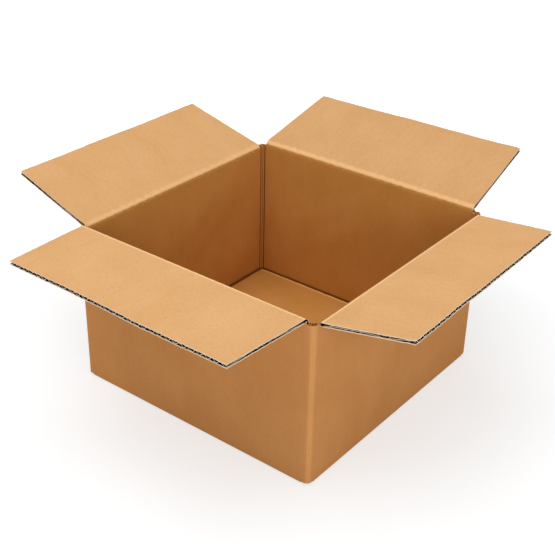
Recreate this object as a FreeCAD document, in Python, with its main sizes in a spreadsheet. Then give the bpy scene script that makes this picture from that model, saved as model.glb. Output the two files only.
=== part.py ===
import FreeCAD, Part

import os

import Sketcher

# Open carton of single-wall corrugated board: one folded sheet for the walls and the
# closed bottom, and four top flaps, each folded along its score at the top of a wall.
# Millimetres. Origin at the middle of the underside, +Z up, front wall towards -Y.

doc = FreeCAD.newDocument("open_carton")

# Driving sizes

SIZES = [
    ("box_length", 262, "outside, along X"),
    ("box_width", 262, "outside, along Y"),
    ("board", 4, "thickness of the corrugated board"),
    ("major_fold", 158, "height of the front and back scores"),
    ("layer_gap", 0.3, "room between a closed side flap and the flaps above it"),
    ("web_drop", 3, "corner edge below the front and back scores"),
    ("corner_radius", 5, "outside radius of the four upright folds"),
    ("corner_bead", 3.5, "crushed bead on the inside of each upright fold"),
    ("fold_radius", 1.5, "outside radius of the bottom folds"),
    ("slot_inset", 8, "side edge of a flap to the outside of the corner"),
    ("front_flap", 88, "score to outer edge"),
    ("back_flap", 98, "score to outer edge"),
    ("left_flap", 93, "score to outer edge"),
    ("right_flap", 80, "score to outer edge"),
    ("front_taper", 6, "each side edge of the flap drawn in at its outer edge"),
    ("back_taper", 4, "each side edge of the flap drawn in at its outer edge"),
    ("left_taper", 5, "each side edge of the flap drawn in at its outer edge"),
    ("right_taper", 11, "each side edge of the flap drawn in at its outer edge"),
    ("fold_gap", 0.3, "running gap between a wall's bead and its flap"),
    ("side_gap", 0.5, "gap between a flap's side edges and the corner webs"),
    ("outer_relief", 20, "degrees cut back on the outside of a score"),
    ("inner_relief", 43, "degrees cut back on the inside of a score"),
    ("front_open", 2.5, "degrees above level"),
    ("back_open", 17, "degrees above level"),
    ("left_open", 15, "degrees above level"),
    ("right_open", 7, "degrees above level"),
    ("flute_pitch", 7.9, "wave length of the fluted layer"),
    ("liner", 0.5, "thickness of the two flat layers"),
    ("medium", 0.4, "thickness of the fluted layer"),
    ("glue_line", 1.8, "width of a flute's glued crest"),
    ("flute_root", 1.8, "width of the bottom of a flute's hollow"),
    ("crush_length", 8, "score to the inner end of a flap's flutes"),
    ("seam_gap", 1, "gap where two bottom flaps meet"),
    ("end_gap", 0.8, "gap from the lower bottom flaps to the side walls"),
    ("notch_side", 6, "open root of a bottom slot, along each wall"),
    ("notch_height", 1.8, "open root of a bottom slot, above the ground"),
    ("lap_width", 35, "glued lap inside the right wall"),
    ("lap_taper", 8, "slant of the lap's two ends"),
    ("lap_inset", 6, "lap's ends to the bottom and to the side score"),
]

sheet = doc.addObject("Spreadsheet::Sheet", "Sizes")
for row, (alias, value, note) in enumerate(SIZES, start=1):
    sheet.set("A%d" % row, alias)
    sheet.set("B%d" % row, str(value))
    sheet.setAlias("B%d" % row, alias)
    sheet.set("C%d" % row, note)
doc.recompute()


def read(text):
    """Value of an expression over the sheet."""
    return float(sheet.evalExpression(text))


# Sizes that follow from the driving ones

HALF_X = "Sizes.box_length / 2"
HALF_Y = "Sizes.box_width / 2"
HALF_BOARD = "Sizes.board / 2"
MINOR_FOLD = "(Sizes.major_fold - Sizes.board - Sizes.layer_gap)"
CORNER_TOP = "(Sizes.major_fold - Sizes.web_drop)"
FLOOR_TOP = "2 * Sizes.board"
OUTER_CUT = "(Sizes.board / 2 / tan(Sizes.outer_relief))"
INNER_CUT = "(Sizes.board / 2 / tan(Sizes.inner_relief))"
ROOT_RADIUS = "(Sizes.board / 2 + Sizes.fold_gap)"
LONG_FLAP = "(Sizes.box_length - 2 * Sizes.slot_inset)"
SIDE_FLAP = "(Sizes.box_width - 2 * Sizes.slot_inset)"


# Sketch and feature helpers

def plane(body, role):
    """Origin plane of a body, by its role."""
    return next(item for item in body.Origin.OriginFeatures if item.Role == role)


def new_sketch(body, name, role, offset=None):
    """Sketch on an origin plane, moved along the plane's normal by an expression."""
    sketch = body.newObject("Sketcher::SketchObject", name)
    sketch.AttachmentSupport = (plane(body, role), [""])
    sketch.MapMode = "FlatFace"
    if offset:
        sketch.setExpression("AttachmentOffset.Base.z", offset)
    return sketch


def pin(sketch, kind, geometry, point, text):
    """Fix one coordinate of a sketch point by an expression over the sheet."""
    index = sketch.addConstraint(
        Sketcher.Constraint(kind, -1, 1, geometry, point, read(text)))
    sketch.setExpression("Constraints[%d]" % index, text)


def pin_xy(sketch, geometry, point, place):
    pin(sketch, "DistanceX", geometry, point, place[0])
    pin(sketch, "DistanceY", geometry, point, place[1])


def polygon(sketch, places):
    """Closed outline through places, each a pair of expressions."""
    points = [FreeCAD.Vector(read(x), read(y), 0) for x, y in places]
    first = sketch.GeometryCount
    count = len(points)
    for i in range(count):
        sketch.addGeometry(Part.LineSegment(points[i], points[(i + 1) % count]))
    for i in range(count):
        sketch.addConstraint(Sketcher.Constraint(
            "Coincident", first + i, 2, first + (i + 1) % count, 1))
        pin_xy(sketch, first + i, 1, places[i])


def rectangle(sketch, left, bottom, right, top):
    """Upright rectangle between four expressions."""
    polygon(sketch, [(left, bottom), (right, bottom), (right, top), (left, top)])


def arc_outline(sketch, centre, radius, start, end, corners, pinned):
    """Outline made of one arc, counter-clockwise from start to end, and straight
    lines from its end through corners back to its start. Each arc end is held by
    the coordinate named in pinned and by lying on the arc."""
    mid = FreeCAD.Vector(read(centre[0]), read(centre[1]), 0)
    ends = [FreeCAD.Vector(read(x), read(y), 0) for x, y in (start, end)]
    angles = [FreeCAD.Vector(1, 0, 0).getAngle(p - mid) for p in ends]
    angles = [a if (p - mid).y >= 0 else -a for a, p in zip(angles, ends)]
    circle = Part.Circle(mid, FreeCAD.Vector(0, 0, 1), read(radius))
    arc = sketch.addGeometry(Part.ArcOfCircle(circle, angles[0], angles[1]))
    pin_xy(sketch, arc, 3, centre)
    index = sketch.addConstraint(Sketcher.Constraint("Radius", arc, read(radius)))
    sketch.setExpression("Constraints[%d]" % index, radius)
    for point, place in ((1, start), (2, end)):
        pin(sketch, pinned, arc, point, place["DistanceX DistanceY".split().index(pinned)])
    path = [ends[1]] + [FreeCAD.Vector(read(x), read(y), 0) for x, y in corners] + [ends[0]]
    lines = [sketch.addGeometry(Part.LineSegment(a, b)) for a, b in zip(path, path[1:])]
    sketch.addConstraint(Sketcher.Constraint("Coincident", arc, 2, lines[0], 1))
    for before, after, place in zip(lines, lines[1:], corners):
        sketch.addConstraint(Sketcher.Constraint("Coincident", before, 2, after, 1))
        pin_xy(sketch, after, 1, place)
    sketch.addConstraint(Sketcher.Constraint("Coincident", lines[-1], 2, arc, 1))


def extrude(body, kind, name, sketch, length, midplane=False, reversed_=False):
    """Pad or Pocket whose length is an expression, compared with the volume before."""
    before = body.Shape.Volume if body.Tip else 0.0
    feature = body.newObject("PartDesign::" + kind, name)
    feature.Profile = sketch
    feature.setExpression("Length", length)
    feature.Midplane = midplane
    feature.Reversed = reversed_
    doc.recompute()
    gained = body.Shape.Volume - before
    wanted = 1 if kind == "Pad" else -1
    if gained * wanted <= 0:
        raise RuntimeError("%s changed the volume by %.3f" % (name, gained))
    return feature


def mirrored(body, name, features, role):
    """Copy of features on the other side of an origin plane."""
    before = body.Shape.Volume
    mirror = body.newObject("PartDesign::Mirrored", name)
    mirror.Originals = features
    mirror.MirrorPlane = (plane(body, role), [""])
    body.Tip = mirror
    doc.recompute()
    if body.Shape.Volume == before:
        raise RuntimeError("%s changed nothing" % name)


def near(a, b):
    return abs(a - b) < 0.001


def edges_where(shape, test):
    """Names of the edges whose two ends, as points, pass a test."""
    return ["Edge%d" % i for i, edge in enumerate(shape.Edges, start=1)
            if test(edge.firstVertex().Point, edge.lastVertex().Point)]


def upright(a, b):
    return near(a.x, b.x) and near(a.y, b.y)


def dress(body, kind, name, base, edges, size_property, size):
    """Fillet or Chamfer on named edges of a feature."""
    feature = body.newObject("PartDesign::" + kind, name)
    feature.Base = (base, edges)
    feature.setExpression(size_property, size)
    doc.recompute()
    return feature


# Walls and closed bottom

def wall_block(body):
    """Solid block with rounded upright and bottom folds."""
    sketch = new_sketch(body, "outline", "XY_Plane")
    rectangle(sketch, "-" + HALF_X, "-" + HALF_Y, HALF_X, HALF_Y)
    block = extrude(body, "Pad", "block", sketch, CORNER_TOP)
    rounded = dress(body, "Fillet", "upright_folds", block,
                    edges_where(block.Shape, upright), "Radius", "Sizes.corner_radius")
    under = edges_where(rounded.Shape, lambda a, b: near(a.z, 0) and near(b.z, 0))
    dress(body, "Fillet", "bottom_folds", rounded, under, "Radius", "Sizes.fold_radius")


def inside(body):
    """Hollow down to the floor, with a crushed bead up each corner."""
    sketch = new_sketch(body, "inside_outline", "XY_Plane", CORNER_TOP)
    inner_x = "(%s - Sizes.board)" % HALF_X
    inner_y = "(%s - Sizes.board)" % HALF_Y
    rectangle(sketch, "-" + inner_x, "-" + inner_y, inner_x, inner_y)
    hollow = extrude(body, "Pocket", "inside", sketch, "%s - %s" % (CORNER_TOP, FLOOR_TOP))
    wall_x = read(inner_x)
    wall_y = read(inner_y)
    corners = edges_where(hollow.Shape, lambda a, b: upright(a, b)
                          and near(abs(a.x), wall_x) and near(abs(a.y), wall_y))
    dress(body, "Chamfer", "corner_beads", hollow, corners, "Size", "Sizes.corner_bead")


def bottom_seams(body):
    """Meeting lines of the bottom flaps: front and back below, left and right above."""
    inner_x = "(%s - Sizes.board)" % HALF_X
    inner_y = "(%s - Sizes.board)" % HALF_Y
    end_x = "(%s - Sizes.board - Sizes.end_gap)" % HALF_X
    side_y = "(%s - Sizes.slot_inset)" % HALF_Y
    seam = "Sizes.seam_gap / 2"
    lower = new_sketch(body, "lower_seams", "XY_Plane")
    polygon(lower, [
        ("-" + inner_x, "-" + side_y), ("-" + end_x, "-" + side_y),
        ("-" + end_x, "-" + seam), (end_x, "-" + seam),
        (end_x, "-" + side_y), (inner_x, "-" + side_y),
        (inner_x, side_y), (end_x, side_y),
        (end_x, seam), ("-" + end_x, seam),
        ("-" + end_x, side_y), ("-" + inner_x, side_y)])
    extrude(body, "Pocket", "lower_layer", lower, "Sizes.board", reversed_=True)
    upper = new_sketch(body, "upper_seam", "XY_Plane", FLOOR_TOP)
    rectangle(upper, "-" + seam, "-" + inner_y, seam, inner_y)
    extrude(body, "Pocket", "upper_layer", upper, "Sizes.board")


def slot_roots(body):
    """Open roots of the bottom slots at the four lower corners."""
    sketch = new_sketch(body, "slot_root_outline", "XY_Plane")
    near_x = "(%s - Sizes.notch_side)" % HALF_X
    near_y = "(%s - Sizes.notch_side)" % HALF_Y
    for low_x, high_x in (("-" + HALF_X, "-" + near_x), (near_x, HALF_X)):
        for low_y, high_y in (("-" + HALF_Y, "-" + near_y), (near_y, HALF_Y)):
            rectangle(sketch, low_x, low_y, high_x, high_y)
    extrude(body, "Pocket", "slot_roots", sketch, "Sizes.notch_height", reversed_=True)


def wall_score(body, name, sketch_plane, mirror_plane, half, fold, width):
    """Rounded bead along the top of two opposite walls, on a neck cut back so that
    the flap can fold outwards and inwards round it."""
    axis = "(%s - %s)" % (half, HALF_BOARD)
    foot = "(%s - %s)" % (fold, OUTER_CUT)
    span = "%s + 2 * Sizes.side_gap" % width
    clear = new_sketch(body, name + "_seat_outline", sketch_plane)
    rectangle(clear, "%s - Sizes.board" % half, foot, half, "%s + Sizes.board" % fold)
    seat = extrude(body, "Pocket", name + "_seat", clear, span, midplane=True)
    bead = new_sketch(body, name + "_bead_outline", sketch_plane)
    start = ("%s + %s * sin(Sizes.outer_relief)" % (axis, HALF_BOARD),
             "%s - %s * cos(Sizes.outer_relief)" % (fold, HALF_BOARD))
    end = ("%s - %s * sin(Sizes.inner_relief)" % (axis, HALF_BOARD),
           "%s - %s * cos(Sizes.inner_relief)" % (fold, HALF_BOARD))
    inner_face = "%s - Sizes.board" % half
    corners = [(inner_face, "%s - %s" % (fold, INNER_CUT)), (inner_face, foot), (half, foot)]
    arc_outline(bead, (axis, fold), HALF_BOARD, start, end, corners, "DistanceX")
    top = extrude(body, "Pad", name + "_bead", bead, span, midplane=True)
    mirrored(body, name + "_opposite", [seat, top], mirror_plane)


def glue_lap(body):
    """Lap that joins the two ends of the blank, from the back wall onto the inside
    of the right wall."""
    sketch = new_sketch(body, "lap_outline", "YZ_Plane", "%s - 2 * Sizes.board" % HALF_X)
    root = "(%s - Sizes.board)" % HALF_Y
    edge = "(%s - Sizes.board - Sizes.lap_width)" % HALF_Y
    low = "(%s + Sizes.lap_inset)" % FLOOR_TOP
    high = "(%s - Sizes.board - Sizes.lap_inset)" % MINOR_FOLD
    polygon(sketch, [(root, low), (root, high),
                     (edge, "%s - Sizes.lap_taper" % high),
                     (edge, "%s + Sizes.lap_taper" % low)])
    extrude(body, "Pad", "glue_lap", sketch, "Sizes.board")


def make_box_body():
    body = doc.addObject("PartDesign::Body", "box_body")
    body.Label = "box_body"
    wall_block(body)
    inside(body)
    bottom_seams(body)
    slot_roots(body)
    glue_lap(body)
    wall_score(body, "side", "XZ_Plane", "YZ_Plane", HALF_X, MINOR_FOLD, SIDE_FLAP)
    wall_score(body, "end", "YZ_Plane", "XZ_Plane", HALF_Y, "Sizes.major_fold", LONG_FLAP)
    return body


# Top flaps

def flap_board(body, width, length):
    """Flap in its own frame: score along X, outwards +Y, its inside face towards +Z."""
    sketch = new_sketch(body, "section", "YZ_Plane")
    half = HALF_BOARD
    start = ("%s * cos(Sizes.outer_relief)" % ROOT_RADIUS,
             "-%s * sin(Sizes.outer_relief)" % ROOT_RADIUS)
    end = ("%s * cos(Sizes.inner_relief)" % ROOT_RADIUS,
           "%s * sin(Sizes.inner_relief)" % ROOT_RADIUS)
    corners = [(INNER_CUT, half), (length, half), (length, "-" + half),
               (OUTER_CUT, "-" + half)]
    arc_outline(sketch, ("0", "0"), ROOT_RADIUS, start, end, corners, "DistanceY")
    extrude(body, "Pad", "board", sketch, width, midplane=True)


def flute_row(body, name, width, length, first, side, copies, reach):
    """Row of hollows between the fluted layer and one flat layer, open at the outer
    edge and ending where the board is crushed along the score."""
    sketch = new_sketch(body, name + "_outline", "XZ_Plane", "-Sizes.crush_length")
    pitch = "(%s / round(%s / Sizes.flute_pitch))" % (width, width)
    wide = "(%s / 2 - Sizes.glue_line / 2)" % pitch
    narrow = "Sizes.flute_root / 2"
    face = side + "(%s - Sizes.liner)" % HALF_BOARD
    trough = {"": "-", "-": ""}[side] + "(%s - Sizes.liner - Sizes.medium)" % HALF_BOARD
    polygon(sketch, [("%s - %s" % (first, wide), face), ("%s + %s" % (first, wide), face),
                     ("%s + %s" % (first, narrow), trough),
                     ("%s - %s" % (first, narrow), trough)])
    hollow = extrude(body, "Pocket", name, sketch, "%s - Sizes.crush_length" % length)
    row = body.newObject("PartDesign::LinearPattern", name + "_row")
    row.Originals = [hollow]
    row.Direction = (sketch, ["H_Axis"])
    row.setExpression("Length", reach)
    row.setExpression("Occurrences", copies)
    before = body.Shape.Volume
    body.Tip = row
    doc.recompute()
    if body.Shape.Volume >= before:
        raise RuntimeError("%s cut nothing" % name)


def side_taper(body, width, length, taper):
    """Both side edges cut back, from nothing at the score to the taper at the outer
    edge, on a line that runs on past the board."""
    sketch = new_sketch(body, "side_taper_outline", "XY_Plane")
    half = "(%s / 2)" % width
    far = "(%s + Sizes.board)" % length
    polygon(sketch, [(half, "0"), (half + " + Sizes.board", "0"),
                     (half + " + Sizes.board", far),
                     ("%s - %s * %s / %s" % (half, taper, far, length), far)])
    cut = extrude(body, "Pocket", "side_taper", sketch, "2 * Sizes.board", midplane=True)
    mirrored(body, "side_taper_opposite", [cut], "YZ_Plane")


def make_flap(name, width, length, taper, heading, place, open_angle):
    body = doc.addObject("PartDesign::Body", name)
    body.Label = name
    flap_board(body, width, length)
    count = "round(%s / Sizes.flute_pitch)" % width
    left = "(-%s / 2)" % width
    flute_row(body, "upper_flute", width, length, left, "", count + " + 1", width)
    flute_row(body, "lower_flute", width, length,
              "(%s + %s / %s / 2)" % (left, width, count), "-", count,
              "%s - %s / %s" % (width, width, count))
    side_taper(body, width, length, taper)
    turn = "create(<<rotation>>; %d; 0; %s)" % (heading, open_angle)
    where = "create(<<vector>>; %s; %s; %s)" % place
    body.setExpression("Placement", "create(<<placement>>; %s; %s)" % (where, turn))
    return body


AXIS_X = "(%s - %s)" % (HALF_X, HALF_BOARD)
AXIS_Y = "(%s - %s)" % (HALF_Y, HALF_BOARD)

bodies = [
    make_box_body(),
    make_flap("flap_front", LONG_FLAP, "Sizes.front_flap", "Sizes.front_taper",
              180, ("0", "-" + AXIS_Y, "Sizes.major_fold"), "Sizes.front_open"),
    make_flap("flap_back", LONG_FLAP, "Sizes.back_flap", "Sizes.back_taper",
              0, ("0", AXIS_Y, "Sizes.major_fold"), "Sizes.back_open"),
    make_flap("flap_left", SIDE_FLAP, "Sizes.left_flap", "Sizes.left_taper",
              90, ("-" + AXIS_X, "0", MINOR_FOLD), "Sizes.left_open"),
    make_flap("flap_right", SIDE_FLAP, "Sizes.right_flap", "Sizes.right_taper",
              -90, (AXIS_X, "0", MINOR_FOLD), "Sizes.right_open"),
]
doc.recompute()

# Checks, then one file for each piece

for item in doc.Objects:
    if "Invalid" in item.State or "Error" in item.State:
        raise RuntimeError("%s failed: %s" % (item.Label, item.State))
for body in bodies:
    if body.Shape.isNull() or not body.Shape.isValid() or len(body.Shape.Solids) != 1:
        raise RuntimeError("%s is not one valid solid" % body.Label)

os.makedirs("parts", exist_ok=True)
for body in bodies:
    body.Shape.exportStep("parts/%s.step" % body.Label)
    box = body.Shape.BoundBox
    print("%-10s volume %.0f  box %.2f %.2f %.2f to %.2f %.2f %.2f" % (
        body.Label, body.Shape.Volume, box.XMin, box.YMin, box.ZMin,
        box.XMax, box.YMax, box.ZMax))
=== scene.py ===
import math
import random

import bmesh
import bpy
import numpy as np
from mathutils import Matrix, Vector


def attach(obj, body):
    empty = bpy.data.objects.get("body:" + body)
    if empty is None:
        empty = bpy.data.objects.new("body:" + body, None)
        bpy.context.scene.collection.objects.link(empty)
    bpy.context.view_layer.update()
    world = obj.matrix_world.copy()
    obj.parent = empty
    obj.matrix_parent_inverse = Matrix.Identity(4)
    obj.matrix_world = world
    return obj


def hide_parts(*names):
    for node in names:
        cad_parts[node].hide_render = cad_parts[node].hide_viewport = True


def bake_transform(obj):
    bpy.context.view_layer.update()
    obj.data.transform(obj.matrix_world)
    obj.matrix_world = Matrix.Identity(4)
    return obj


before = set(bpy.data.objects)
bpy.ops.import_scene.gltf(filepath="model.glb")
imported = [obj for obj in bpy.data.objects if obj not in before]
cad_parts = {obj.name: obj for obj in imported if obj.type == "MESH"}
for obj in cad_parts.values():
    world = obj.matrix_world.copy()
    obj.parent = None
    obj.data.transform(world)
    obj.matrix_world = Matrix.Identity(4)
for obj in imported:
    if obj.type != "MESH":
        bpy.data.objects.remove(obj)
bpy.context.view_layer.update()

# Sizes of the board and the carton, in millimetres, as in the solids

MM = 0.001
BOX = 262.0
BOARD = 4.0
HALF_BOARD = BOARD / 2
LINER = 0.5
MEDIUM = 0.4
WALL_OUT = BOX / 2
WALL_IN = WALL_OUT - BOARD
AXIS = WALL_OUT - HALF_BOARD
FLAP_HALF = 123.0
WAVES = 31
PITCH = 2 * FLAP_HALF / WAVES
SIDE_WAVE = 6.4
MAJOR_FOLD = 158.0
RUNNING_GAP = 0.3
MINOR_FOLD = MAJOR_FOLD - BOARD - RUNNING_GAP
SEAM_HEIGHT = MINOR_FOLD - 8.0
WEB_TOP = 155.0
OUTER_RADIUS = 5.0
BEAD = 3.5
FOLD_RADIUS = 1.5
NOTCH = 1.8
FLOOR_TOP = 2 * BOARD
LAYER_GAP = 0.2
SEAM_GAP = 1.0
LOWER_HALF = 126.2
UPPER_END_GAP = 1.8
LAP_WIDTH = 35.0
LAP_LOW = 14.0
LAP_HIGH = MINOR_FOLD - 10.0
LAP_TAPER = 8.0
LAP_SLOPE = 0.6

# The four walls in order round the carton: direction along the wall, outward direction,
# height of the score and the coordinate of the wall's middle on the unrolled sheet

WALLS = {
    "back": ((-1, 0), (0, 1), MAJOR_FOLD, 0.0),
    "left": ((0, -1), (-1, 0), MINOR_FOLD, BOX),
    "front": ((1, 0), (0, -1), MAJOR_FOLD, 2 * BOX),
    "right": ((0, 1), (1, 0), MINOR_FOLD, 3 * BOX),
}

# How long each flap is, how far each side edge is drawn in, and how the flap lies: mean
# angle above level, twist from end to end, bow of the middle, curl of the outer edge,
# whether its crease is crisp, how ragged that is, and how much painted shade darkens its
# inside paper

FLAPS = {
    "front": dict(length=88.0, taper=6.0, angle=0.9, twist=-1.0, bow=-0.2, curl=-0.2,
                  crisp=True, ragged=0.15, painted_shade=0.0, seed=11),
    "back": dict(length=97.2, taper=4.0, angle=16.0, twist=-0.8, bow=-0.4, curl=-0.2,
                 crisp=False, ragged=0.40, painted_shade=-0.12, seed=23),
    "left": dict(length=93.0, taper=5.0, angle=15.6, twist=-0.4, bow=0.3, curl=0.2,
                 crisp=False, ragged=0.40, painted_shade=-0.08, seed=37),
    "right": dict(length=80.0, taper=11.0, angle=8.1, twist=0.9, bow=0.2, curl=0.2,
                  crisp=True, ragged=0.15, painted_shade=0.0, seed=41),
}

# What each random curve of a flap adds to the flap's seed

CREASE_DRAW = 0
PRESS_DRAW = 2
END_DRAW = 3
LIFT_DRAW = 5
LIP_DRAW = 7
WAVE_DRAW = 9
SIDE_DRAW = 12

# The bend of a flap: how far it reaches from the score, the strip of wall and flap beside
# it that is drawn in fine rows, and where the wall's inside paper, darkened as painted
# shade, ends

BEND_REACH = 1.7
FINE_STRIP = 5.0
WALL_PAPER_END = -0.8

# Wear of a flap's edges: how deep the side edges are pressed and how far in, how much the
# outer edge's papers part and how far in, how uneven the cut and the flap itself are, and
# by what share the papers are thicker at the rim

PRESS_DEPTH = 0.20
PRESS_REACH = 2.5
LIP_HEIGHT = 0.12
LIP_REACH = 1.5
CUT_UNEVEN = 0.09
FLAP_UNEVEN = 0.25
RIM_GROWTH = 0.6

# The wavy layer between a flap's papers, and the crushed one along its side edges: the
# share of the room that the wave fills, how far it slips along the edge and over what
# length, how it thickens at the outer edge, and the side one's half thickness and place

WAVE_FILL = 0.93
WAVE_SLIP = 0.55
WAVE_SLIP_LENGTH = 17.0
WAVE_END_GROWTH = 0.10
SIDE_FILL = 0.96
SIDE_SLIP = 0.8
SIDE_SLIP_LENGTH = 14.0
SIDE_HALF = 0.15
SIDE_INSETS = (0.9, 2.5)

# Bumps across a crease in millimetres, or across a corner as a share of its width. Each
# has a height, a centre, a width and how far its centre follows the ragged crease line

CRUSH = ((0.95, 0.0, 2.2, 1.0),)
INSIDE_RIDGE = ((0.28, 2.3, 0.8, 0.3), (-0.22, -1.9, 0.7, 1.0))
OUTSIDE_RIDGE = ((0.15, 3.2, 1.0, 0.0),)
# Painted highlight (above 0) and painted shade (below 0) across the crease, crisp or soft
CRISP_CREASE_PAINTED_LIGHT = ((0.95, 3.2, 0.9, 0.4), (-0.95, 1.3, 0.8, 0.3))
SOFT_CREASE_PAINTED_LIGHT = ((0.70, 0.6, 1.6, 0.8), (-0.25, -2.6, 0.9, 1.0))
OUTER_CORNER = ((0.22, 0.36, 0.09, 0.0), (0.22, 0.64, 0.09, 0.0), (-0.15, 0.50, 0.06, 0.0))
INNER_CORNER = ((0.75, 0.34, 0.09, 0.0), (0.75, 0.68, 0.09, 0.0), (-0.45, 0.08, 0.10, 0.0),
                (-0.35, 0.51, 0.05, 0.0), (-0.35, 0.94, 0.07, 0.0))
# Painted highlights on a corner's ridges and painted shade in its grooves, outside and inside
OUTER_CORNER_PAINTED_LIGHT = ((0.20, 0.50, 0.40, 0.0), (0.20, 0.36, 0.07, 0.0), (0.16, 0.66, 0.07, 0.0))
INNER_CORNER_PAINTED_LIGHT = ((0.40, 0.32, 0.09, 0.0), (0.40, 0.69, 0.09, 0.0), (-1.0, 0.07, 0.16, 0.0),
               (-0.85, 0.51, 0.07, 0.0), (-0.90, 0.94, 0.13, 0.0))

# Third coordinate of the sheet, which keeps the texture of one paper from another's

PAPER_LEVEL = 400.0
BACK_LEVEL = 40.0
LAYER_LEVEL = 90.0
WEB_LEVEL = 1300.0
FILL_LEVEL = 1500.0
LAP_LEVEL = 2100.0

# Edges that turn by more than this are drawn sharp

SHARP_ANGLE = math.radians(35)


def smoothstep(low, high, x):
    t = np.clip((x - low) / (high - low), 0, 1)
    return t * t * (3 - 2 * t)


def bump_at(x, centre, width):
    return np.exp(-((x - centre) / width) ** 2)


def bumps(x, shapes, drift=0.0):
    """Sum of the bumps in shapes, whose centres follow drift."""
    return sum(height * bump_at(x, centre + follow * drift, width)
               for height, centre, width, follow in shapes)


def wander(x, seed, length, rough=0.5):
    """Smooth random curve of about unit size, with bumps about length apart."""
    rng = random.Random(seed)
    x = np.asarray(x, float)
    total = np.zeros_like(x)
    size = 1.0
    norm = 0.0
    for octave in range(4):
        for _ in range(3):
            wave = length / (2 ** octave) * rng.uniform(0.7, 1.4)
            total = total + size * np.sin(2 * math.pi * x / wave + rng.uniform(0, 6.28))
        norm += size * size * 1.5
        size *= rough
    return total / math.sqrt(norm)


def sheet_grid(u, v, level):
    """Places on the unrolled sheet, all at one level of the third direction."""
    return np.stack([u, v, np.full(u.shape, level)], -1)


class Shells:
    """Closed shells gathered into one mesh, with the place on the unrolled sheet and the
    painted highlights and painted shades (marks) kept for the materials."""

    def __init__(self):
        self.points = []
        self.sheet = []
        self.marks = []
        self.faces = []
        self.kinds = []
        self.count = 0

    def plate(self, face, back, sheet_face, sheet_back, kinds, mark=None, by_row=None):
        """A closed plate between two grids of points. kinds: material of the face, of
        the back and of the rim. by_row: material of the face for each row of quads."""
        rows, cols = face.shape[:2]
        first = self.count
        values = np.zeros(rows * cols) if mark is None else mark.reshape(-1)
        for grid, flat in ((face, sheet_face), (back, sheet_back)):
            self.points.append(grid.reshape(-1, 3))
            self.sheet.append(flat.reshape(-1, 3))
            self.marks.append(values)
        self.count += 2 * rows * cols
        index = np.arange(rows * cols).reshape(rows, cols) + first
        other = index + rows * cols
        for i in range(rows - 1):
            for j in range(cols - 1):
                self.faces.append((index[i, j], index[i, j + 1], index[i + 1, j + 1], index[i + 1, j]))
                self.kinds.append(kinds[0] if by_row is None else by_row[i])
                self.faces.append((other[i, j], other[i + 1, j], other[i + 1, j + 1], other[i, j + 1]))
                self.kinds.append(kinds[1])
        rim = [(0, j) for j in range(cols)] + [(i, cols - 1) for i in range(1, rows)]
        rim += [(rows - 1, j) for j in range(cols - 2, -1, -1)]
        rim += [(i, 0) for i in range(rows - 2, 0, -1)]
        for (i, j), (k, m) in zip(rim, rim[1:] + rim[:1]):
            self.faces.append((index[k, m], index[i, j], other[i, j], other[k, m]))
            self.kinds.append(kinds[2])

    def build(self, name):
        mesh = bpy.data.meshes.new(name)
        points = np.concatenate(self.points) * MM
        mesh.from_pydata(points.tolist(), [], [tuple(int(i) for i in f) for f in self.faces])
        mesh.polygons.foreach_set("material_index", np.array(self.kinds, np.int32))
        sheet = mesh.attributes.new("sheet", "FLOAT_VECTOR", "POINT")
        sheet.data.foreach_set("vector", (np.concatenate(self.sheet) * MM).astype(np.float32).ravel())
        mark = mesh.attributes.new("mark", "FLOAT", "POINT")
        mark.data.foreach_set("value", np.concatenate(self.marks).astype(np.float32))
        work = bmesh.new()
        work.from_mesh(mesh)
        bmesh.ops.recalc_face_normals(work, faces=work.faces)
        work.to_mesh(mesh)
        work.free()
        mesh.polygons.foreach_set("use_smooth", np.ones(len(mesh.polygons), bool))
        mesh.set_sharp_from_angle(angle=SHARP_ANGLE)
        for material in PAPERS:
            mesh.materials.append(material)
        piece = bpy.data.objects.new(name, mesh)
        bpy.context.scene.collection.objects.link(piece)
        return piece


# Papers

WHITE = (1.0, 1.0, 1.0)
RIPPLE_HEIGHT = 0.00003
TOOTH_HEIGHT = 0.00012
TOOTH_STRENGTH = 0.55


def add(tree, kind, **values):
    node = tree.nodes.new("ShaderNode" + kind)
    for key, value in values.items():
        setattr(node, key, value)
    return node


def math_node(tree, operation, a, b=None):
    node = add(tree, "Math", operation=operation)
    for socket, value in zip(node.inputs, (a, b)):
        if value is None:
            continue
        if isinstance(value, (int, float)):
            socket.default_value = value
        else:
            tree.links.new(value, socket)
    return node.outputs[0]


def noise(tree, coordinates, stretch, detail, rough=0.6):
    mapping = add(tree, "Mapping")
    mapping.inputs["Scale"].default_value = stretch
    tree.links.new(coordinates, mapping.inputs["Vector"])
    node = add(tree, "TexNoise")
    node.inputs["Scale"].default_value = 1.0
    node.inputs["Detail"].default_value = detail
    node.inputs["Roughness"].default_value = rough
    tree.links.new(mapping.outputs["Vector"], node.inputs["Vector"])
    return node.outputs["Fac"]


def ranged(tree, value, low, high, to_low, to_high):
    node = add(tree, "MapRange")
    node.inputs["From Min"].default_value = low
    node.inputs["From Max"].default_value = high
    node.inputs["To Min"].default_value = to_low
    node.inputs["To Max"].default_value = to_high
    tree.links.new(value, node.inputs["Value"])
    return node.outputs["Result"]


def tinted(tree, colour, factor, tint):
    """colour, mixed towards tint by factor."""
    node = add(tree, "Mix", data_type="RGBA")
    tree.links.new(factor, node.inputs["Factor"])
    if isinstance(colour, tuple):
        node.inputs["A"].default_value = (*colour, 1)
    else:
        tree.links.new(colour, node.inputs["A"])
    node.inputs["B"].default_value = (*tint, 1)
    return node.outputs["Result"]


def bump_node(tree, height, distance, strength):
    node = add(tree, "Bump")
    node.inputs["Strength"].default_value = strength
    node.inputs["Distance"].default_value = distance
    tree.links.new(height, node.inputs["Height"])
    return node


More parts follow.
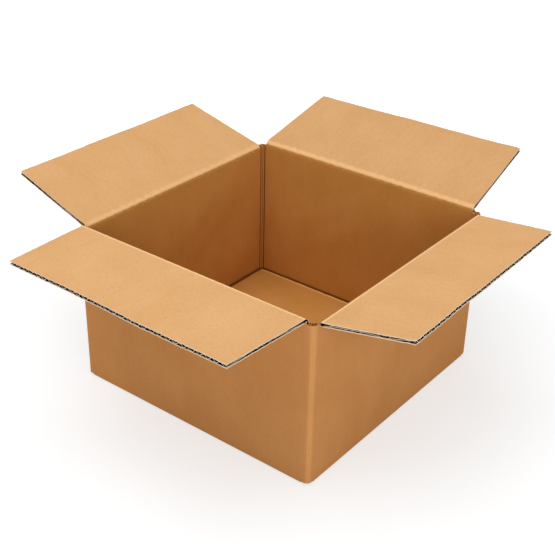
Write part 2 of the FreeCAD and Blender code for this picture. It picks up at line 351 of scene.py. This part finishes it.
def kraft(name, base, dark, light, ripple_shade=0.05, flecks=1.0, relief=1.0):
    """Kraft paper: cloudy colour, short fibres across the flutes, flecks, and the soft
    washboard of the flutes beneath, as a bump and as painted shade along the flutes; the
    mark attribute lays on painted highlight (above 0) and painted shade (below 0)."""
    material = bpy.data.materials.new(name)
    material.use_nodes = True
    tree = material.node_tree
    shader = tree.nodes["Principled BSDF"]
    place = add(tree, "Attribute", attribute_name="sheet").outputs["Vector"]
    mark = add(tree, "Attribute", attribute_name="mark").outputs["Fac"]
    split = add(tree, "SeparateXYZ")
    tree.links.new(place, split.inputs["Vector"])

    clouds = noise(tree, place, (26, 17, 20), detail=3)
    fibres = noise(tree, place, (240, 1300, 500), detail=5, rough=0.7)
    hairs = noise(tree, place, (520, 3600, 900), detail=3, rough=0.65)
    specks = noise(tree, place, (420, 1500, 700), detail=2, rough=0.5)
    grain = noise(tree, place, (3200, 3600, 3200), detail=2)
    turn = math_node(tree, "MULTIPLY", split.outputs["X"], 2 * math.pi / (PITCH * MM))
    wave = math_node(tree, "SINE", turn)
    # colours of the painted highlight and the painted shade that the mark attribute lays on
    highlight_colour = tuple(min(1.0, 1.28 * c) for c in light)
    shade_colour = tuple(0.30 * c for c in dark)

    # each tint: what drives it, where it starts and is full, how strong it is, its colour
    tints = (
        (clouds, 0.35, 0.68, 0.55, light),
        (fibres, 0.52, 0.78, 0.42 * flecks, dark),
        (fibres, 0.46, 0.26, 0.38 * flecks, light),
        (specks, 0.66, 0.74, 0.50 * flecks, dark),
        (hairs, 0.60, 0.72, 0.22 * flecks, light),
        # painted shade along the flutes' washboard, then the painted highlight and painted shade from
        # mark
        (wave, 0.2, 1.0, ripple_shade, dark),
        (mark, 0.0, 1.0, 1.0, highlight_colour),
        (mark, 0.0, -1.0, 1.0, shade_colour),
    )
    colour = base
    for value, start, full, strength, tint in tints:
        colour = tinted(tree, colour, ranged(tree, value, start, full, 0.0, strength), tint)
    tree.links.new(colour, shader.inputs["Base Color"])

    shader.inputs["Specular IOR Level"].default_value = 0.04
    tree.links.new(ranged(tree, fibres, 0.3, 0.7, 0.78, 0.92), shader.inputs["Roughness"])

    ripple = bump_node(tree, wave, RIPPLE_HEIGHT * relief, 1.0)
    height = math_node(tree, "ADD", fibres, math_node(tree, "MULTIPLY", grain, 0.5))
    tooth = bump_node(tree, height, TOOTH_HEIGHT * relief, TOOTH_STRENGTH)
    tree.links.new(ripple.outputs["Normal"], tooth.inputs["Normal"])
    tree.links.new(tooth.outputs["Normal"], shader.inputs["Normal"])
    return material


INNER_PAPER = kraft("inner_paper", (0.76, 0.420, 0.180), (0.55, 0.265, 0.092), (0.85, 0.50, 0.235),
                    ripple_shade=0.02, flecks=2.0)
# A darker, more saturated copy of the inside paper, as painted shade on the walls and floor inside the
# box
SHADED_INNER_PAPER = kraft("shaded_inner_paper", (0.58, 0.268, 0.061), (0.45, 0.180, 0.038), (0.68, 0.33, 0.10),
                   ripple_shade=0.02, flecks=1.4)
OUTER_PAPER = kraft("outer_paper", (0.66, 0.300, 0.098), (0.48, 0.198, 0.055), (0.74, 0.365, 0.13),
                    ripple_shade=0.02, flecks=1.3)
CUT_EDGE = kraft("cut_edge", (0.97, 0.76, 0.55), (0.82, 0.56, 0.36), (0.98, 0.82, 0.64),
                 ripple_shade=0.0, flecks=0.7, relief=0.6)
# Nearly black: painted shade in the holes of the fluting and on the hidden backs of the papers
FLUTE_SHADE_PAPER = kraft("flute_shade_paper", (0.030, 0.015, 0.007), (0.02, 0.010, 0.005), (0.05, 0.028, 0.014),
                    ripple_shade=0.0, flecks=0.6)
PAPERS = [INNER_PAPER, OUTER_PAPER, CUT_EDGE, FLUTE_SHADE_PAPER, SHADED_INNER_PAPER]
IN, OUT, CUT, FLUTE_SHADE, IN_SHADED = range(5)

# Points along a wall and its flap, four to each wave of the fluting

ALONG = np.linspace(-FLAP_HALF, FLAP_HALF, 4 * WAVES + 1)


def spread(wall, a, outward, height):
    """Points at distance a along a wall, outward from its middle plane, at a height."""
    along, out = WALLS[wall][:2]
    a, outward, height = np.broadcast_arrays(a, outward, height)
    n = AXIS + outward
    return np.stack([along[0] * a + out[0] * n, along[1] * a + out[1] * n, height], -1)


def flat_place(wall, a, v, layer):
    """Place on the unrolled sheet; the layers lie far apart in the third direction."""
    a, v = np.broadcast_arrays(a, v)
    return sheet_grid(WALLS[wall][3] + a, v, PAPER_LEVEL * layer)


# Flaps, each with the top strip of its wall


def drawn_in(lie, a, s):
    """Distance along the score, drawn in towards the flap's outer edge."""
    return a * (1 - lie["taper"] / FLAP_HALF * np.clip(s / lie["length"], 0, 1))


def fold_point(wall, lie, a, s, offset):
    """Point of a flap's board: a along the score, s from the score, offset towards the
    inside paper. Negative s is down the wall."""
    a = drawn_in(lie, a, s)
    theta = np.radians(lie["angle"] + lie["twist"] * a / FLAP_HALF)
    t = np.clip((s + BEND_REACH) / (2 * BEND_REACH), 0, 1)
    beyond = np.maximum(s - BEND_REACH, 0)
    below = np.minimum(s + BEND_REACH, 0)
    far = np.clip(s / lie["length"], 0, 1)
    cross = a / FLAP_HALF
    lift = lie["bow"] * far * (1 - cross ** 2) + lie["curl"] * far ** 2 * cross ** 2
    lift = lift + FLAP_UNEVEN * far * wander(a, lie["seed"] + LIFT_DRAW, 150.0)
    bend_out = t ** 2 * BEND_REACH * np.cos(theta)
    bend_up = t ** 2 * BEND_REACH * np.sin(theta) - (1 - t) ** 2 * BEND_REACH
    way_out = t * np.cos(theta)
    way_up = (1 - t) + t * np.sin(theta)
    size = np.hypot(way_out, way_up)
    way_out, way_up = way_out / size, way_up / size
    out = bend_out + way_out * beyond - way_up * (offset + lift)
    up = bend_up + way_up * beyond + below + way_out * (offset + lift)
    return spread(wall, a, out, WALLS[wall][2] + up)


def ragged_line(lie, a):
    """How far the crease strays from its score."""
    return lie["ragged"] * wander(a, lie["seed"] + CREASE_DRAW, 9.0, 0.7)


def half_gap(lie, a, s, side):
    """Distance from the middle of the board to the outside of one of its papers: side 1
    is the inside paper and -1 the outside one."""
    drift = 0.5 * ragged_line(lie, a)
    crush = bumps(s, CRUSH, drift)
    ridge = bumps(s, INSIDE_RIDGE if side > 0 else OUTSIDE_RIDGE, drift)
    press = PRESS_DEPTH * np.exp((np.abs(a) - FLAP_HALF) / PRESS_REACH)
    press = press * (0.6 + 0.5 * wander(s + 31 * np.sign(a), lie["seed"] + PRESS_DRAW, 11.0))
    press = press * smoothstep(2.0, 8.0, s)
    lip = LIP_HEIGHT * np.exp(-(lie["length"] - s) / LIP_REACH)
    lip = lip * wander(a, lie["seed"] + LIP_DRAW + side, 5.0)
    return HALF_BOARD - crush + ridge - np.maximum(press, 0) + np.where(s > 0.6 * lie["length"], lip, 0)


def crease_painted_light(lie, a, s, side):
    """Painted highlight on the flap's side of the crease and painted shade in the groove
    beside it: crisp on the flaps that lie nearly level, soft and ragged on the raised ones.
    The raised flaps' painted shade is added beyond the crease."""
    if side < 0:
        return np.zeros(np.broadcast(a, s).shape)
    mark = bumps(s, CRISP_CREASE_PAINTED_LIGHT if lie["crisp"] else SOFT_CREASE_PAINTED_LIGHT, ragged_line(lie, a))
    return mark + lie["painted_shade"] * smoothstep(0.0, 4.0, s)


def add_papers(shells, wall, lie):
    """A flap's two papers, with the strip of wall that they are folded from."""
    score = WALLS[wall][2]
    length = lie["length"]
    rows = np.concatenate([
        np.linspace(SEAM_HEIGHT - score, -FINE_STRIP, 4)[:-1],
        np.linspace(-FINE_STRIP, FINE_STRIP, 29),
        np.linspace(FINE_STRIP, length - 3, 22)[1:],
        [length - 1.6, length - 0.6, length],
    ])
    s, a = np.meshgrid(rows, ALONG, indexing="ij")
    uneven = CUT_UNEVEN * wander(ALONG, lie["seed"] + END_DRAW, 6.0)[None, :]
    end = uneven * smoothstep(0.8 * length, length, s)
    rim = np.maximum(smoothstep(length - 4, length - 2, s),
                     smoothstep(FLAP_HALF - 4, FLAP_HALF - 2, np.abs(a)))
    thick = LINER * (1 + RIM_GROWTH * rim * smoothstep(3.0, 7.0, s))
    for side, paper, wall_paper in ((1, IN, IN_SHADED), (-1, OUT, OUT)):
        outer = half_gap(lie, a, s, side)
        face = fold_point(wall, lie, a, s + end, side * outer)
        back = fold_point(wall, lie, a, s + end, side * (outer - thick))
        flat = flat_place(wall, drawn_in(lie, a, s), score + s, side)
        flat_back = flat + np.array([0, 0, BACK_LEVEL])
        by_row = [wall_paper if row < WALL_PAPER_END else paper for row in rows[1:]]
        mark = crease_painted_light(lie, a, s, side)
        shells.plate(face, back, flat, flat_back, (paper, FLUTE_SHADE, CUT), mark, by_row)


def add_wave(shells, wall, lie):
    """The wavy layer between a flap's papers, which shows at the outer edge."""
    length = lie["length"]
    fine = np.linspace(-FLAP_HALF + 0.3, FLAP_HALF - 0.3, 12 * WAVES + 1)
    rows = np.array([4.0, 7.0, 12.0, 40.0, length - 25, length - 8, length - 4, length - 1.5,
                     length - 0.25])
    s, a = np.meshgrid(rows, fine, indexing="ij")
    slip = WAVE_SLIP * wander(fine, lie["seed"] + WAVE_DRAW, WAVE_SLIP_LENGTH)[None, :]
    slip = slip * smoothstep(0.6 * length, length, s)
    turn = 2 * math.pi * (drawn_in(lie, a, s) + slip) / PITCH
    wave = (np.cos(turn) - 0.10 * np.cos(3 * turn)) / 0.9
    room = np.minimum(half_gap(lie, a, s, 1), half_gap(lie, a, s, -1))
    amplitude = room - LINER - MEDIUM / 2 + 0.03
    centre = np.clip(WAVE_FILL * amplitude * wave, -amplitude, amplitude)
    half = MEDIUM / 2 + WAVE_END_GROWTH * smoothstep(length - 6, length - 2, s)
    lower = fold_point(wall, lie, a, s, centre - half)
    upper = fold_point(wall, lie, a, s, centre + half)
    flat = flat_place(wall, a, WALLS[wall][2] + s, 3)
    shells.plate(upper, lower, flat, flat, (FLUTE_SHADE, FLUTE_SHADE, CUT))


def add_side_wave(shells, wall, lie, sign):
    """The crushed wave that shows along one side edge of a flap."""
    along = np.arange(6.0, lie["length"] - 1.0, PITCH / 12)
    s, depth = np.meshgrid(along, SIDE_INSETS, indexing="ij")
    a = sign * (FLAP_HALF - depth)
    slip = SIDE_SLIP * wander(along, lie["seed"] + SIDE_DRAW + sign, SIDE_SLIP_LENGTH)[:, None]
    room = np.minimum(half_gap(lie, a, s, 1), half_gap(lie, a, s, -1)) - LINER - MEDIUM / 2
    centre = SIDE_FILL * room * np.cos(2 * math.pi * (s + slip) / SIDE_WAVE)
    lower = fold_point(wall, lie, a, s, centre - SIDE_HALF)
    upper = fold_point(wall, lie, a, s, centre + SIDE_HALF)
    flat = flat_place(wall, a, WALLS[wall][2] + s, 4)
    shells.plate(upper, lower, flat, flat, (FLUTE_SHADE, FLUTE_SHADE, CUT))


def make_flap(wall):
    lie = FLAPS[wall]
    score = WALLS[wall][2]
    shells = Shells()
    add_papers(shells, wall, lie)
    add_wave(shells, wall, lie)
    for sign in (-1, 1):
        add_side_wave(shells, wall, lie, sign)
    piece = shells.build(wall + "_flap_board")
    start = spread(wall, 0.0, 0.4, score - 1.6) * MM
    finish = spread(wall, 0.0, 1.6, score - 0.2) * MM
    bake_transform(piece)
    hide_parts("flap_" + wall)


# Walls, as one sheet that starts and ends at the glued corner. Its faces are numbered from
# outside: 0 and 1 are the outer paper's, 2 and 3 the inner paper's

FACE_OFFSET = {0: HALF_BOARD, 1: HALF_BOARD - LINER, 2: LINER - HALF_BOARD, 3: -HALF_BOARD}
WALL_PAPERS = ((0, 1, OUT), (3, 2, IN_SHADED))
STRIP_STEPS = 4
ACROSS = np.linspace(0, 1, 17)
ARC = ACROSS * math.pi / 2
CORNER_STEPS = len(ACROSS) + 2 * STRIP_STEPS
DIAGONAL = 0.707
FOLD_STEPS = 6
FOLD_TURN = np.linspace(0, math.pi / 2, FOLD_STEPS)[:-1]
HEIGHTS = np.concatenate([np.linspace(FOLD_RADIUS, FLOOR_TOP, 4), [8.8, 9.6, 10.6, 14.0],
                          np.linspace(14.0, SEAM_HEIGHT, 16)[1:]])
WEB_CHIP = 0.25


def corner_path(face):
    """Section of one face round a corner, as distances out and along."""
    if face < 2:
        edge = WALL_OUT - face * LINER
        inset = WALL_OUT - OUTER_RADIUS
        radius = OUTER_RADIUS - face * LINER + bumps(ACROSS, OUTER_CORNER)
        out_bend = inset + radius * np.cos(ARC)
        along_bend = inset + radius * np.sin(ARC)
    else:
        edge = WALL_IN + (0.0 if face == 3 else LINER)
        inset = edge - BEAD + (0.0 if face == 3 else 0.2)
        raised = DIAGONAL * bumps(ACROSS, INNER_CORNER)
        out_bend = edge + (inset - edge) * ACROSS - raised
        along_bend = inset + (edge - inset) * ACROSS - raised
    strip = np.linspace(FLAP_HALF, inset, STRIP_STEPS + 1)
    out = np.concatenate([np.full(STRIP_STEPS, edge), out_bend, strip[-2::-1]])
    along = np.concatenate([strip[:-1], along_bend, np.full(STRIP_STEPS, edge)])
    return out, along


def corner_painted_light(face):
    """Painted highlights on the ridges and painted shade in the grooves across a corner, on the
    outer or the inner paper.
    """
    shade = np.maximum(bumps(ACROSS, OUTER_CORNER_PAINTED_LIGHT if face < 2 else INNER_CORNER_PAINTED_LIGHT), -1)
    return np.concatenate([np.zeros(STRIP_STEPS), shade, np.zeros(STRIP_STEPS)])


def corner_points(wall, face):
    along_axis, out_axis = WALLS[wall][:2]
    out, along = corner_path(face)
    return np.stack([out_axis[0] * out + along_axis[0] * along,
                     out_axis[1] * out + along_axis[1] * along], -1)


def corner_sheet(wall):
    return WALLS[wall][3] + FLAP_HALF + np.linspace(0, BOX - 2 * FLAP_HALF, CORNER_STEPS)


def ring(face):
    """Plan of one face of the walls, from the glued corner round to it again, with the
    place on the sheet, whether each point is in a corner, and its painted highlight or shade."""
    plan, place, corner, shade = [], [], [], []

    def join(points, where, in_corner, tones):
        plan.append(points)
        place.append(where)
        corner.append(np.full(len(points), in_corner))
        shade.append(tones)

    tones = corner_painted_light(face)
    middle = CORNER_STEPS // 2
    bend = slice(middle, -1)
    join(corner_points("right", face)[bend], corner_sheet("right")[bend] - 4 * BOX, 1.0, tones[bend])
    for wall in WALLS:
        straight = spread(wall, ALONG, FACE_OFFSET[face], 0.0)[:, :2]
        join(straight, WALLS[wall][3] + ALONG, 0.0, np.zeros(len(ALONG)))
        bend = slice(1, middle + 1 if wall == "right" else CORNER_STEPS - 1)
        join(corner_points(wall, face)[bend], corner_sheet(wall)[bend], 1.0, tones[bend])
    return [np.concatenate(part) for part in (plan, place, corner, shade)]


def wall_bow(place, z):
    """Slow unevenness of the walls, none at the corners and at the top."""
    a = (place + BOX / 2) % BOX - BOX / 2
    hold = np.cos(np.clip(a / FLAP_HALF, -1, 1) * math.pi / 2) ** 0.5
    rise = np.sin(np.clip((z - BOARD) / (SEAM_HEIGHT - BOARD), 0, 1) * math.pi)
    return 0.5 * hold * rise * wander(place + 1.7 * z, 5, 190.0)


def face_level(face):
    """Level of a face of the walls in the third direction of the sheet."""
    return (PAPER_LEVEL if face > 1 else -PAPER_LEVEL) + (BACK_LEVEL if face in (1, 2) else 0.0)


def fold_rows(face, plan, lowest):
    """Rows of a face round the fold at the bottom, below the lowest row of its wall."""
    rows = np.repeat(lowest, len(FOLD_TURN), axis=0)
    if face > 1:
        rows[..., 2] = np.linspace(LINER, FOLD_RADIUS, FOLD_STEPS)[:-1, None]
        return rows
    radius = FOLD_RADIUS - face * LINER
    limits = WALL_OUT - face * LINER - radius * (1 - np.sin(FOLD_TURN))
    for row, limit, turn in zip(rows, limits, FOLD_TURN):
        row[:, :2] = np.clip(plan, -limit, limit)
        row[:, 2] = FOLD_RADIUS - radius * math.cos(turn)
    return rows


def wall_face(face):
    """Points of one face of the walls, their places on the sheet, and their painted highlights
    and shades.
    """
    plan, place, corner, shade = ring(face)
    z, where = np.meshgrid(HEIGHTS, place, indexing="ij")
    outward = plan / np.abs(plan).max(axis=1)[:, None]
    outward = np.where(np.abs(outward) > 0.999, np.sign(outward), 0)
    outward = outward * (1 - corner)[:, None]
    grid = np.zeros((*z.shape, 3))
    grid[..., :2] = plan[None] + outward[None] * wall_bow(where, z)[..., None]
    grid[..., 2] = z
    grid = np.concatenate([fold_rows(face, plan, grid[:1]), grid])
    in_notch = (corner[None, :] > 0) & (np.arange(len(grid))[:, None] < FOLD_STEPS)
    grid[..., 2] = np.where(in_notch, np.maximum(grid[..., 2], NOTCH), grid[..., 2])
    heights = np.concatenate([np.linspace(0, FOLD_RADIUS, FOLD_STEPS)[:-1], HEIGHTS])
    v, u = np.meshgrid(heights, place, indexing="ij")
    return grid, sheet_grid(u, v, face_level(face)), shade


def add_wall_paper(shells, shown, hidden, paper):
    grid, flat, shade = wall_face(shown)
    back, flat_back, _ = wall_face(hidden)
    marks = np.broadcast_to(shade, grid.shape[:2])
    # Painted shade on the inside paper, darker towards the floor
    if paper == IN_SHADED:
        foot_shade = 0.8 * (1 - smoothstep(FLOOR_TOP, 10.5, grid[..., 2]))
        marks = np.maximum(marks - foot_shade, -1)
    shells.plate(grid, back, flat, flat_back, (paper, FLUTE_SHADE, CUT), marks)


def web_face(wall, face):
    """One face of the board above the seam at a corner, with a slightly chipped top."""
    where = corner_sheet(wall)
    chip = WEB_CHIP * wander(where, 61 + len(wall), 6.0)
    z, u = np.meshgrid(np.linspace(SEAM_HEIGHT, WEB_TOP, 6), where, indexing="ij")
    grid = np.zeros((*z.shape, 3))
    grid[..., :2] = corner_points(wall, face)[None]
    grid[..., 2] = z
    grid[-1, :, 2] += chip - WEB_CHIP
    return grid, sheet_grid(u, z, face_level(face))


def add_corner_web(shells, wall):
    """The papers above the seam at a corner, and the crushed layer that fills them."""
    for shown, hidden, paper in WALL_PAPERS:
        grid, flat = web_face(wall, shown)
        back, flat_back = web_face(wall, hidden)
        marks = np.broadcast_to(corner_painted_light(shown), grid.shape[:2])
        shells.plate(grid, back, flat, flat_back, (paper, OUT, OUT), marks)
    fine = np.linspace(0, CORNER_STEPS - 1, 4 * (CORNER_STEPS - 1) + 1)
    base = np.arange(CORNER_STEPS)
    outer = corner_points(wall, 1)
    inner = corner_points(wall, 2)
    middle = np.stack([np.interp(fine, base, (outer[:, i] + inner[:, i]) / 2) for i in (0, 1)], -1)
    gap = np.stack([np.interp(fine, base, (outer[:, i] - inner[:, i]) / 2) for i in (0, 1)], -1)
    reach = 0.80 * np.cos(fine / (CORNER_STEPS - 1) * 2 * math.pi * 2.5)
    middle = middle + gap * reach[:, None]
    unit = gap / np.linalg.norm(gap, axis=1)[:, None] * MEDIUM / 2
    levels = np.array([SEAM_HEIGHT - 4, WEB_TOP - 2, WEB_TOP - 0.6])
    v, u = np.meshgrid(levels, fine, indexing="ij")
    grids = []
    for sign in (1, -1):
        grid = np.zeros((*v.shape, 3))
        grid[..., :2] = (middle + sign * unit)[None]
        grid[..., 2] = v
        grids.append(grid)
    flat = sheet_grid(u, v, WEB_LEVEL)
    shells.plate(grids[0], grids[1], flat, flat, (OUT, OUT, OUT))


def make_walls():
    shells = Shells()
    for shown, hidden, paper in WALL_PAPERS:
        add_wall_paper(shells, shown, hidden, paper)
    for wall in WALLS:
        add_corner_web(shells, wall)
    piece = shells.build("walls_board")
    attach(piece, "box")
    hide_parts("box_body")


# Bottom flaps: the outer pair from the front and back walls, the inner pair above them

FILL_INSET = 0.6
FILL_GAP = 0.2


def board_plate(shells, xs, ys, top, bottom, kinds, side, from_side_wall=False, mark=None):
    """A level board over a grid: both papers and the fluting between them, nearly black as
    painted shade. The sheet runs along x where the board is folded from a side wall, and
    along y elsewhere."""
    x, y = np.meshgrid(xs, ys, indexing="ij")
    u, v = (y, x) if from_side_wall else (x, y)
    sheets = (
        (top, top - LINER, (kinds[0], FLUTE_SHADE, CUT), PAPER_LEVEL, mark),
        (bottom + LINER, bottom, (FLUTE_SHADE, kinds[1], CUT), -PAPER_LEVEL, None),
    )
    for upper, lower, papers, level, shade in sheets:
        face = np.stack([x, y, np.broadcast_to(upper, x.shape)], -1)
        back = np.stack([x, y, np.broadcast_to(lower, x.shape)], -1)
        flat = sheet_grid(u, v, level + LAYER_LEVEL * side)
        shells.plate(face, back, flat, flat, papers, shade)
    x, y = np.meshgrid([xs[0] + FILL_INSET, xs[-1] - FILL_INSET],
                       [ys[0] + FILL_INSET, ys[-1] - FILL_INSET], indexing="ij")
    face = sheet_grid(x, y, float(np.min(top)) - LINER - FILL_GAP)
    back = sheet_grid(x, y, bottom + LINER + FILL_GAP)
    flat = sheet_grid(x, y, FILL_LEVEL)
    shells.plate(face, back, flat, flat, (FLUTE_SHADE, FLUTE_SHADE, FLUTE_SHADE))


def make_outer_flaps():
    """The lower pair; the fold of the front and back walls runs into it."""
    shells = Shells()
    xs = np.linspace(-LOWER_HALF, LOWER_HALF, 60)
    for sign in (-1, 1):
        ys = np.sort(np.linspace(SEAM_GAP / 2, WALL_OUT - FOLD_RADIUS, 40) * sign)
        board_plate(shells, xs, ys, BOARD - LAYER_GAP / 2, 0.0, (FLUTE_SHADE, OUT), sign)
    piece = shells.build("bottom_outer_flaps")
    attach(piece, "box")


def make_inner_flaps():
    """The upper pair, which is the floor that shows, dipping into its folds."""
    shells = Shells()
    half = WALL_IN - UPPER_END_GAP
    ends = np.array([0.0, 0.4, 0.8, 1.3, 2.0, 3.0])
    ys = np.concatenate([ends - half, np.linspace(BOARD - half, half - BOARD, 100), half - ends[::-1]])
    for sign in (-1, 1):
        xs = np.concatenate([np.linspace(SEAM_GAP / 2, WALL_IN - 4, 50),
                             np.linspace(WALL_IN - 4, WALL_IN, 9)[1:]])
        xs = np.sort(xs * sign)
        x, y = np.meshgrid(xs, ys, indexing="ij")
        fold = smoothstep(WALL_IN - 3.2, WALL_IN - 0.6, np.abs(x))
        top = FLOOR_TOP - 1.5 * fold + 0.12 * wander(x + 2 * y, 71, 60.0)
        # Painted highlight along the floor's edge by the front and back walls, and painted shade in its
        # fold by the side walls
        edge_highlight = bump_at(half - np.abs(y), 1.3, 1.5)
        fold_shade = 0.8 * bump_at(WALL_IN - np.abs(x), 1.2, 1.6)
        board_plate(shells, xs, ys, top, BOARD + LAYER_GAP / 2, (IN_SHADED, OUT), sign,
                    from_side_wall=True, mark=edge_highlight - fold_shade)
    piece = shells.build("bottom_inner_flaps")
    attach(piece, "box")


# The glued lap inside the right wall, at the back

LAP_GLUE = 0.02
LAP_PRESS = 1.2


def make_lap():
    shells = Shells()
    r, c = np.meshgrid(np.linspace(0, 1, 30), np.linspace(0, 1, 9), indexing="ij")
    edge = WALL_IN - LAP_WIDTH
    y = edge + c * LAP_WIDTH
    drop = LAP_SLOPE * LAP_TAPER * (1 - np.clip(c * LAP_WIDTH / LAP_TAPER, 0, 1))
    low = LAP_LOW + drop
    high = LAP_HIGH - drop
    z = low + r * (high - low)
    thin = LAP_PRESS * (1 - smoothstep(0, 3.0, y - edge))
    flat = sheet_grid(y, z, LAP_LEVEL)
    for near, far, kinds in ((BOARD, BOARD - LINER, (IN_SHADED, FLUTE_SHADE, CUT)), (LINER, 0.0, (FLUTE_SHADE, OUT, CUT))):
        grids = []
        for depth in (near, far):
            inward = np.maximum(depth - thin, LAP_GLUE + 0.1 * depth)
            grids.append(np.stack([WALL_IN - LAP_GLUE - inward, y, z], -1))
        shells.plate(grids[0], grids[1], flat, flat, kinds)
    piece = shells.build("glue_lap_board")
    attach(piece, "box")


# Floor and light, in metres. The floor's glow grows from low to full between the near and
# the far distance from the middle of the box

FLOOR_HALF = 8.0
FLOOR_HEIGHT = -0.0004
GLOW_NEAR, GLOW_FAR = 0.30, 0.75
GLOW_LOW, GLOW_FULL = 0.635, 1.0
WORLD_STRENGTH = 0.36


def rays_shown(tree):
    """1 for the rays that see the background: from the camera, mirrored or let through."""
    path = add(tree, "LightPath")
    shown = math_node(tree, "MAXIMUM", path.outputs["Is Camera Ray"], path.outputs["Is Glossy Ray"])
    return math_node(tree, "MAXIMUM", shown, path.outputs["Is Transmission Ray"])


def mixed(tree, factor, first, second):
    node = add(tree, "MixShader")
    tree.links.new(factor, node.inputs["Fac"])
    tree.links.new(first.outputs[0], node.inputs[1])
    tree.links.new(second.outputs[0], node.inputs[2])
    return node


def coloured(tree, kind, colour):
    node = add(tree, kind)
    node.inputs["Color"].default_value = (*colour, 1)
    return node


def make_floor():
    """A plain floor for the light, and one that is seen, brightening outwards to white
    round the shadow."""
    mesh = bpy.data.meshes.new("floor")
    corners = [(-1, -1), (1, -1), (1, 1), (-1, 1)]
    mesh.from_pydata([(x * FLOOR_HALF, y * FLOOR_HALF, FLOOR_HEIGHT) for x, y in corners], [],
                     [(0, 1, 2, 3)])
    floor = bpy.data.objects.new("floor", mesh)
    bpy.context.scene.collection.objects.link(floor)
    material = bpy.data.materials.new("floor")
    material.use_nodes = True
    tree = material.node_tree
    tree.nodes.clear()
    plain = coloured(tree, "BsdfDiffuse", (0.80, 0.80, 0.80))
    seen = coloured(tree, "BsdfDiffuse", (0.46, 0.47, 0.48))
    glow = coloured(tree, "Emission", (0.985, 1.0, 1.0))
    place = add(tree, "TexCoord").outputs["Object"]
    length = add(tree, "VectorMath", operation="LENGTH")
    tree.links.new(place, length.inputs[0])
    strength = ranged(tree, length.outputs["Value"], GLOW_NEAR, GLOW_FAR, GLOW_LOW, GLOW_FULL)
    tree.links.new(strength, glow.inputs["Strength"])
    both = add(tree, "AddShader")
    tree.links.new(seen.outputs[0], both.inputs[0])
    tree.links.new(glow.outputs[0], both.inputs[1])
    mix = mixed(tree, rays_shown(tree), plain, both)
    out = add(tree, "OutputMaterial")
    tree.links.new(mix.outputs[0], out.inputs["Surface"])
    mesh.materials.append(material)


def make_world():
    """Soft light from all round, in front of a white background."""
    world = bpy.data.worlds.new("studio")
    bpy.context.scene.world = world
    world.use_nodes = True
    tree = world.node_tree
    tree.nodes.clear()
    soft = coloured(tree, "Background", WHITE)
    soft.inputs["Strength"].default_value = WORLD_STRENGTH
    white = coloured(tree, "Background", WHITE)
    mix = mixed(tree, rays_shown(tree), soft, white)
    out = add(tree, "OutputWorld")
    tree.links.new(mix.outputs[0], out.inputs["Surface"])


# Each lamp: name, place, width and height in metres, and watts

LAMPS = (
    ("overhead", (-0.25, -0.25, 2.0), (1.8, 1.8), 25.0),
    ("camera_side", (1.65, -1.18, 0.90), (1.6, 1.2), 13.0),
)
LAMP_TARGET = Vector((0.0, 0.0, 0.1))


def area_lamp(name, place, size, watts):
    data = bpy.data.lights.new(name, "AREA")
    data.shape = "RECTANGLE"
    data.size, data.size_y = size
    data.energy = watts
    lamp = bpy.data.objects.new(name, data)
    bpy.context.scene.collection.objects.link(lamp)
    lamp.location = place
    lamp.rotation_mode = "QUATERNION"
    lamp.rotation_quaternion = (LAMP_TARGET - Vector(place)).to_track_quat("-Z", "Y")


# The photograph's view: turn round the carton, height above level, roll, place and lens

AZIMUTH = math.radians(37.58)
ELEVATION = math.radians(29.25)
ROLL = math.radians(1.21)
CAMERA_PLACE = (0.52777, -0.69374, 0.58327)
FOCAL_PIXELS = 1069.0
FRAME_PIXELS = 555
SENSOR = 36.0


def make_camera():
    data = bpy.data.cameras.new("camera")
    camera = bpy.data.objects.new("camera", data)
    bpy.context.scene.collection.objects.link(camera)
    bpy.context.scene.camera = camera
    data.sensor_fit = "HORIZONTAL"
    data.sensor_width = SENSOR
    data.lens = SENSOR * FOCAL_PIXELS / FRAME_PIXELS
    back = Vector((math.sin(AZIMUTH) * math.cos(ELEVATION), -math.cos(AZIMUTH) * math.cos(ELEVATION),
                   math.sin(ELEVATION)))
    level = Vector((math.cos(AZIMUTH), math.sin(AZIMUTH), 0))
    rise = back.cross(level)
    right = math.cos(ROLL) * level + math.sin(ROLL) * rise
    up = math.cos(ROLL) * rise - math.sin(ROLL) * level
    turn = Matrix((right, up, back)).transposed()
    camera.rotation_mode = "QUATERNION"
    camera.rotation_quaternion = turn.to_quaternion()
    camera.location = CAMERA_PLACE
    data.clip_start, data.clip_end = 0.05, 50.0


for wall_name in WALLS:
    make_flap(wall_name)
make_walls()
make_outer_flaps()
make_inner_flaps()
make_lap()
make_floor()
make_world()
for lamp_values in LAMPS:
    area_lamp(*lamp_values)
make_camera()
bpy.context.scene.view_settings.view_transform = "Standard"
